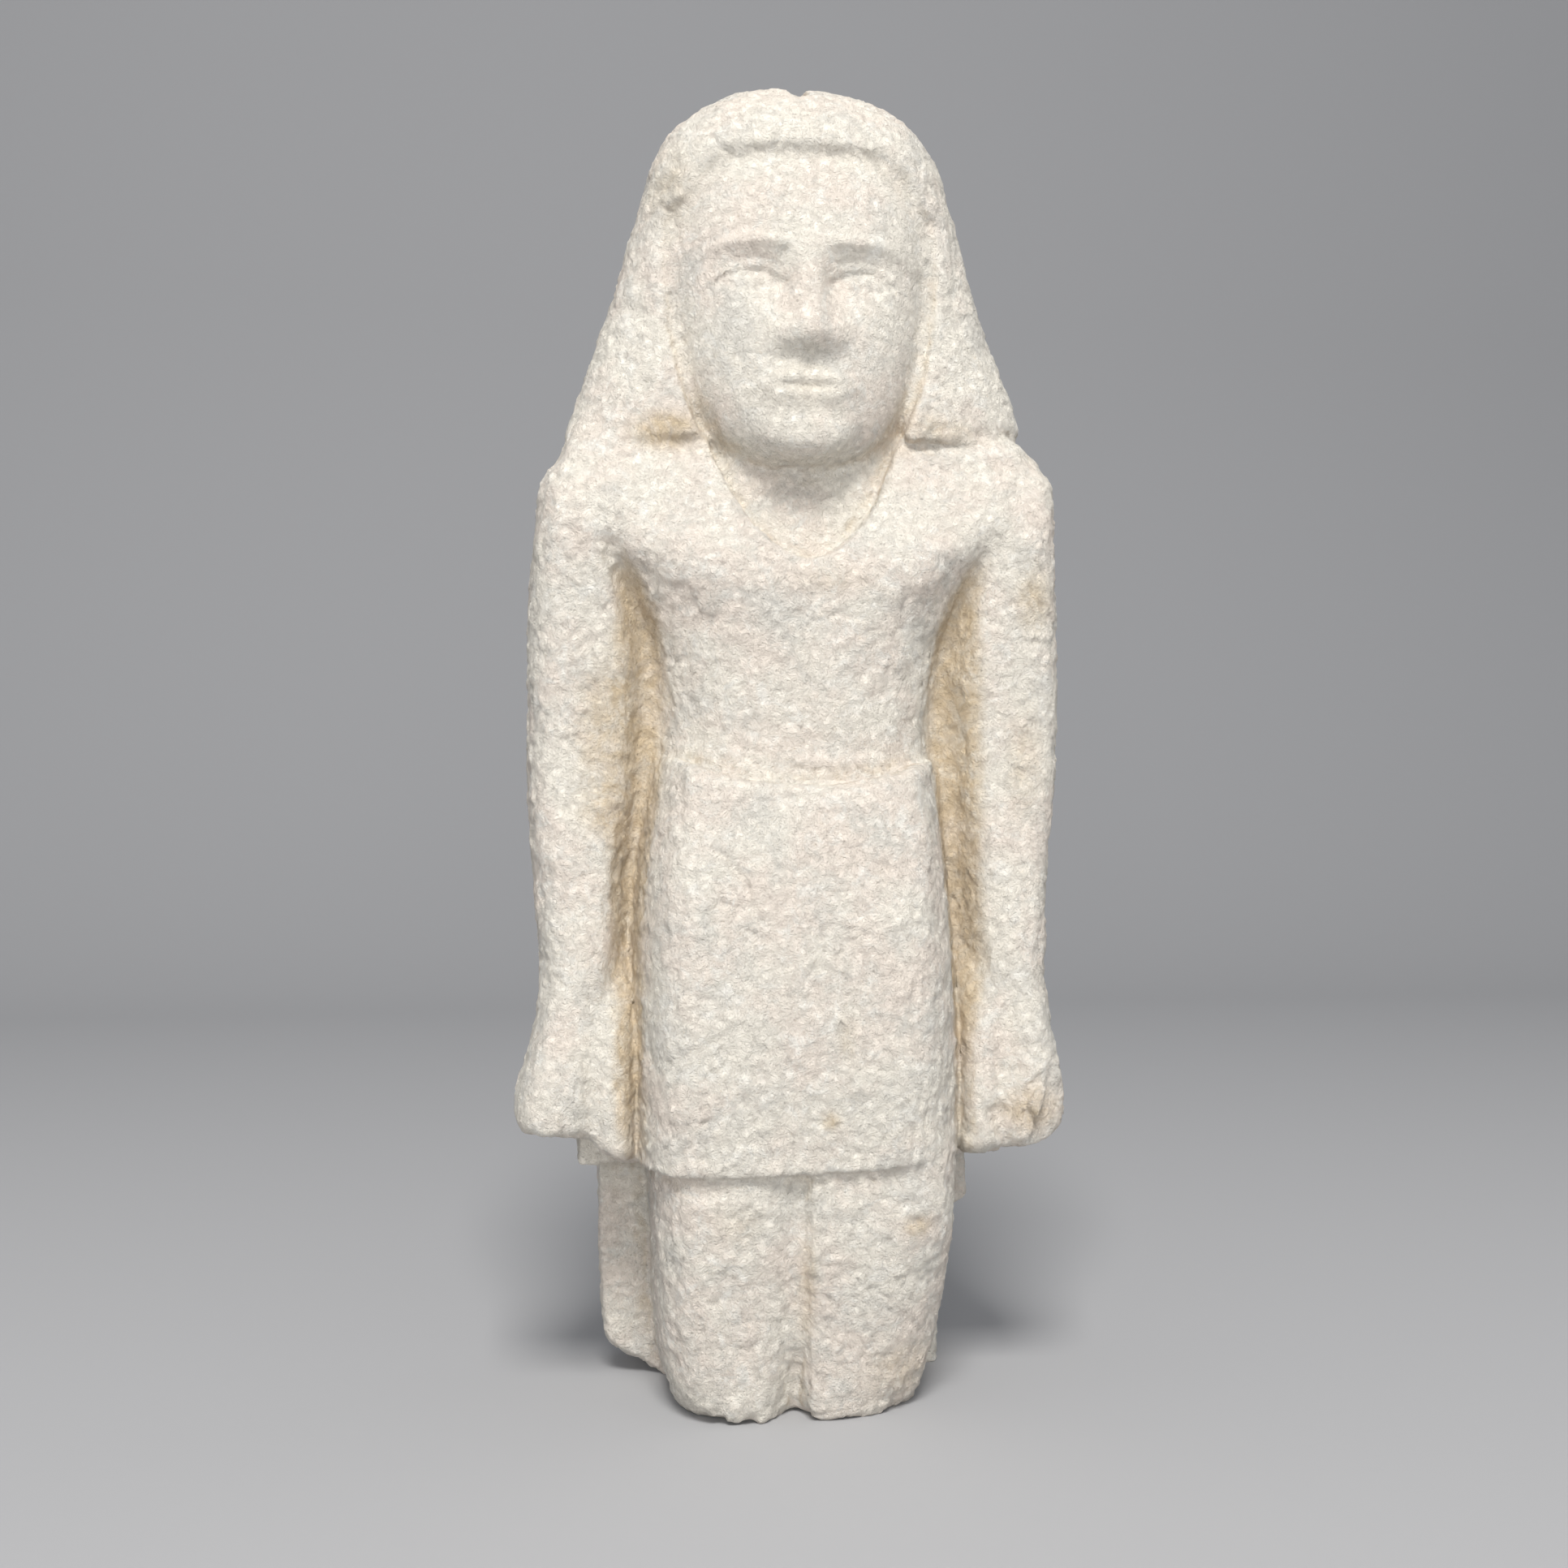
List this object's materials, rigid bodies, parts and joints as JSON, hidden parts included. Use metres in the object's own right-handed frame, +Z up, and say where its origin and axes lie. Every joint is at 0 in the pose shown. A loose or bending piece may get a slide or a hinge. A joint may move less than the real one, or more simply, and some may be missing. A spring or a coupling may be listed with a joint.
{
  "type": "egyptian male figure statue",
  "caption": "Limestone statue of a standing Egyptian man in a plain flaring wig and short kilt, arms at the sides with closed fists, backed by a slab and broken off at mid shin.",
  "frame": {"origin": "middle of the bounding box on the ground plane, under the broken legs and the back slab", "axes": "+Z up, -Y the way the figure faces, +X the viewer's right when facing the figure"},
  "size_m": [0.251, 0.134, 0.5975],
  "materials": {
    "limestone": "weathered, rough-tooled"
  },
  "bodies": {
    "root": {"statue": "limestone"}
  },
  "joints": []
}
